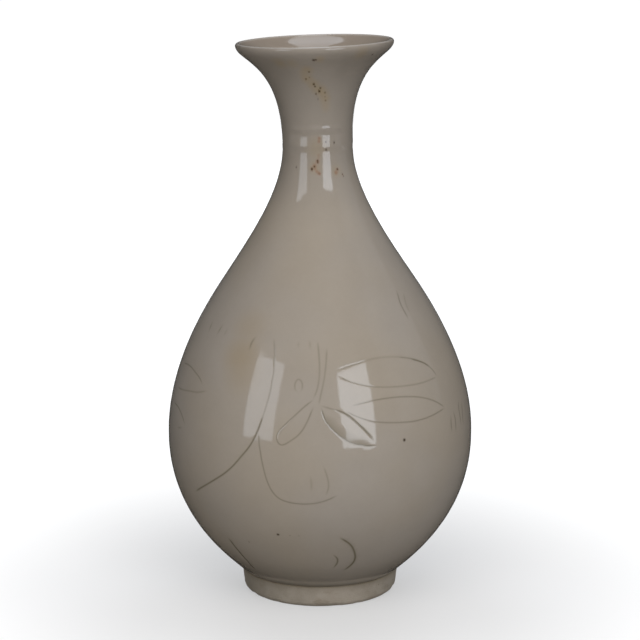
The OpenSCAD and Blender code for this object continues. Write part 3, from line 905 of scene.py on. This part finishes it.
def makeClayFinish(name, tones):
    finish, shader, kit, place = newFinish(name)
    height = heightOf(kit, place)
    cloud, sand, rare = (noise(kit, place, *clay[kind]) for kind in ("cloud", "sand", "rare"))
    stretched = kit.node("ShaderNodeMapping", None, {"Vector": place, "Scale": clay["smearStretch"]})
    smear = noise(kit, stretched, *clay["smear"])
    grit = 1 - cells(kit, place, clay["gritScale"]).ease(*clay["gritEdge"])
    colour = kit.blend(tones["body"], tones["pale"], cloud.ease(*clay["cloudEdge"]))
    colour = colour.towards(tones["stain"], smear.ease(*clay["smearEdge"]) * clay["smearShare"])
    colour = colour.towards(tones["stain"], height.ease(*clay["stainFrom"]) * clay["stainShare"])
    colour = colour.towards(clay["grit"], grit * rare.ease(*clay["rareEdge"]) * clay["gritShare"])
    colour = colour.shaded(sand.above(*clay["shade"]))
    bump = bumped(kit, clay["bump"], sand + clay["smearBump"] * smear)
    kit.feed(shader, {"Base Color": colour, "Roughness": sand.above(*clay["rough"]), "Normal": bump,
                      "Specular IOR Level": clay["specular"]})
    return finish


foot = {
    "columns": 288, "sharpAngle": 40,
    "wallRows": 22, "cornerRows": 13, "ledgeRows": 8, "boreRows": 10, "seatRows": 8,
    "sideEdge": (0.2, 0.4), "lowEdge": (0.4, 2.5), "seatEdge": (0.0, 1.0),
    # turning rings: lift, inset, pitch of both, sway of the first, share of the second
    "ring": 0.035, "ringInset": 0.05, "ringPitch": (5.1, 9.7), "ringSway": 0.4, "ringShare": 0.8,
    # chips: depth, rise, where they begin; wear: turns and lag of its three waves, share of the third
    "chips": 0.35, "chipRise": 0.6, "chipFrom": 0.2, "wornEdge": (1.5, 1.0), "wornLevel": (0.6, 3.4),
    "wear": [(5, 1), (11, 0), (23, 2)], "wearShare": 0.5,
}


# Turned foot ring: its half section carried round; its side has fine turning rings, sines of the height, and
# chips along its lower edge, where a sum of sines round it is high
def makeFoot(finish):
    turn = np.linspace(-math.pi, math.pi, foot["columns"] + 1)[None, :-1]
    seat = form["footHeight"] - form["slip"]
    side, edge = seatRadius - form["footTaper"], form["footRound"]
    bore, bevel = seatRadius - form["footWall"], form["footBevel"]
    turnDown = np.radians(np.linspace(0, -90, foot["cornerRows"]))
    corner = np.column_stack([side - edge + edge * np.cos(turnDown), edge + edge * np.sin(turnDown)])
    wall = np.linspace([seatRadius, seat], corner[0], foot["wallRows"])
    ledge = np.linspace(corner[-1], [bore + bevel, 0], foot["ledgeRows"])
    inner = np.linspace([bore, bevel], [bore, seat], foot["boreRows"])
    top = np.linspace([bore, seat], [seatRadius, seat], foot["seatRows"])
    section = np.concatenate([wall[1:-1], corner, ledge[1:], inner, top[1:]])
    r, z = section[:, :1], section[:, 1:]

    inward, outward = foot["sideEdge"]
    ringed = ease(r, side - edge - inward, side - outward) * ease(z, *foot["lowEdge"])
    ringed = ringed * ease(seat - z, *foot["seatEdge"])
    firstPitch, secondPitch = foot["ringPitch"]
    rings = np.sin(z * firstPitch + foot["ringSway"] * np.sin(turn))
    rings = foot["ring"] * (rings + foot["ringShare"] * np.sin(z * secondPitch + turn)) - foot["ringInset"]
    inward, outward = foot["wornEdge"]
    worn = ease(r, side - edge - inward, side - outward) * (1 - ease(z, *foot["wornLevel"]))
    first, second, third = (np.sin(turn * turns + lag) for turns, lag in foot["wear"])
    wear = first * second + foot["wearShare"] * third
    chips = worn * foot["chips"] * np.clip(wear - foot["chipFrom"], 0, 1)
    points = stand(r + ringed * rings - chips, z + foot["chipRise"] * chips, turn)
    net = netOf(0, len(section), foot["columns"])
    newPiece("foot_ring_turned", points.reshape(-1, 3), [netFaces(np.vstack([net, net[:1]]), flip=True)],
             finish, "foot_ring", foot["sharpAngle"])


bareClay = makeClayFinish("bare_clay", clay["bare"])
firedSlip = makeClayFinish("fired_slip", clay["slip"])
makeFoot(bareClay)

for node, finish in {"lower_body": bareClay, "upper_body": bareClay, "trumpet_neck": bareClay,
                     "foot_slip": firedSlip, "belly_slip": firedSlip, "neck_slip": firedSlip}.items():
    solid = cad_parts[node].data
    solid.materials.clear()
    solid.materials.append(finish)
print("clay and slip dressed")

# Soft windows: azimuth and elevation ranges in degrees as seen from the vase's middle, distance and
# brightness; one that isn't mirrored lights the vase unseen, one that doesn't spread is only mirrored
coolTint, warmTint = (0.92, 0.98, 1.07), (1.05, 1.0, 0.945)
windowAim = Vector((0, 0, 0.15))
windows = {
    "left": {"azimuth": (-58, -34), "elevation": (-1.5, 33), "distance": 1.6, "glow": 2.4},
    "right": {"azimuth": (16.3, 41.5), "elevation": (-5, 32), "distance": 1.6, "glow": 3.9},
    "fill": {"azimuth": (62, 108), "elevation": (0, 46), "distance": 1.5, "glow": 0.25},
    "soft": {"azimuth": (-24, 28), "elevation": (27, 65), "distance": 1.6, "glow": 2.88,
             "tint": warmTint, "mirrored": False},
    "sky": {"azimuth": (-5, 13), "elevation": (78, 138), "distance": 1.5, "glow": 1.8, "spread": False},
    "backLeft": {"azimuth": (-172, -142), "elevation": (6, 46), "distance": 1.7, "glow": 3.2,
                 "mirrored": False},
    "backRight": {"azimuth": (142, 172), "elevation": (6, 46), "distance": 1.7, "glow": 3.2,
                  "mirrored": False},
}


# Way out from the vase: azimuth from the front, which is -Y, towards +X
def direction(azimuth, elevation):
    a, e = math.radians(azimuth), math.radians(elevation)
    return Vector((math.sin(a) * math.cos(e), -math.cos(a) * math.cos(e), math.sin(e)))


# Area lamp that fills its ranges as seen from the vase; its power is its brightness times its area and pi
def makeWindow(name, azimuth, elevation, distance, glow, tint=coolTint, mirrored=True, spread=True):
    lamp = bpy.data.lights.new(name, "AREA")
    lamp.shape = "RECTANGLE"
    lamp.color = tint
    lamp.size = 2 * distance * math.tan(math.radians(azimuth[1] - azimuth[0]) / 2)
    lamp.size_y = 2 * distance * math.tan(math.radians(elevation[1] - elevation[0]) / 2)
    lamp.energy = glow * math.pi * lamp.size * lamp.size_y
    way = direction(sum(azimuth) / 2, sum(elevation) / 2)
    holder = bpy.data.objects.new(name, lamp)
    holder.location = windowAim + way * distance
    holder.rotation_euler = way.to_track_quat("Z", "Y").to_euler()
    holder.visible_camera = False
    holder.visible_glossy = mirrored
    holder.visible_diffuse = spread
    bpy.context.scene.collection.objects.link(holder)


for name, setting in windows.items():
    makeWindow(name + "Window", **setting)
print("windows set")

# Stage: a pale floor that keeps the shadow, brighter away from the vase where the camera sees it; a dark
# curtain, ceiling and floor cloth round the set, which the camera doesn't see, so that the glaze mirrors dark
# surroundings as in the photograph
stage = {
    "floorSize": 14.0, "floorWhite": 0.35, "floorBounce": (0.46, 0.43, 0.385), "ambient": 0.23,
    # glow dimmer at the foot: a painted shadow round the vase, brightening near and far
    "glow": (0.45, 0.86, 0.95), "pool": (0.04, 0.3), "fade": (0.35, 1.6),     # at the foot, near and far
    "card": 0.02, "curtainRadius": 1.9, "curtainHeight": 3.4, "curtainFrom": 0.002, "curtainSides": 59,
    "clothSize": 1.75, "clothLevel": 0.001, "clothEdge": (0.03, 0.042),
}


def plainGrey(value):
    return (value, value, value, 1)


# 1 for what the camera sees, also in a mirror or through glass
def seenMask(kit):
    rays = ("Is Camera Ray", "Is Glossy Ray", "Is Transmission Ray")
    straight, mirrored, through = (kit.node("ShaderNodeLightPath", out=ray) for ray in rays)
    return kit.math("MINIMUM", straight + mirrored + through, 1.0)


# A sheet of the stage, which is no part of the vase
def stageSheet(name, points, faces, finish):
    mesh = bpy.data.meshes.new(name)
    mesh.from_pydata(points, [], faces)
    mesh.materials.append(finish)
    sheet = bpy.data.objects.new(name, mesh)
    bpy.context.scene.collection.objects.link(sheet)
    return sheet


def stageSquare(name, half, level, finish):
    corners = [(-half, -half, level), (half, -half, level), (half, half, level), (-half, half, level)]
    return stageSheet(name, corners, [(0, 1, 2, 3)], finish)


def makeFloor():
    finish, shader, kit, place = newFinish("pale_floor")
    bounce = kit.node("ShaderNodeBsdfDiffuse", None, {"Color": (*stage["floorBounce"], 1)})
    pale = kit.node("ShaderNodeBsdfDiffuse", None, {"Color": plainGrey(stage["floorWhite"])})
    away = lengthOf(kit, place)
    centre, near, far = stage["glow"]
    # a painted shadow: the glow is dimmer round the foot
    glow = centre + (near - centre) * away.ease(*stage["pool"]) + (far - near) * away.ease(*stage["fade"])
    light = kit.node("ShaderNodeEmission", None, {"Color": glow.grey()})
    seen = kit.node("ShaderNodeAddShader", None, {0: pale, 1: light})
    surfaceOf(kit, shader, kit.node("ShaderNodeMixShader", None, {0: seenMask(kit), 1: bounce, 2: seen}))
    stageSquare("floor", stage["floorSize"], 0, finish)


def makeCards():
    dark, shader, kit, _ = newFinish("dark_card")
    kit.feed(shader, {"Base Color": plainGrey(stage["card"]), "Roughness": 1.0})
    sides = stage["curtainSides"]
    angle = np.linspace(-math.pi, math.pi, sides + 1)[:-1]
    ring = np.column_stack([np.sin(angle), -np.cos(angle)]) * stage["curtainRadius"]
    rims = (stage["curtainFrom"], stage["curtainHeight"])
    points = np.vstack([np.column_stack([ring, np.full(sides, level)]) for level in rims])
    faces = netFaces(netOf(0, len(rims), sides))
    curtain = stageSheet("curtain", points.tolist(), faces.tolist(), dark)
    ceiling = stageSquare("ceiling", stage["curtainRadius"], stage["curtainHeight"], dark)

    finish, shader, kit, place = newFinish("dark_cloth")
    clear = kit.node("ShaderNodeBsdfTransparent")
    black = kit.node("ShaderNodeBsdfDiffuse", None, {"Color": plainGrey(stage["card"])})
    cover = lengthOf(kit, place).ease(*stage["clothEdge"])
    surfaceOf(kit, shader, kit.node("ShaderNodeMixShader", None, {0: cover, 1: clear, 2: black}))
    cloth = stageSquare("cloth", stage["clothSize"], stage["clothLevel"], finish)
    cloth.visible_diffuse = False
    ceiling.visible_diffuse = False
    for card in (curtain, cloth, ceiling):
        card.visible_camera = False
        card.visible_shadow = False


def makeWorld():
    world = bpy.data.worlds.new("studio")
    bpy.context.scene.world = world
    world.use_nodes = True
    kit = Wire(world.node_tree)
    glow = stage["ambient"] + seenMask(kit) * (1 - stage["ambient"])
    kit.feed(kit.tree.nodes["Background"], {"Color": glow.grey()})


makeFloor()
makeCards()
makeWorld()
bpy.context.scene.view_settings.view_transform = "Standard"
print("stage set")
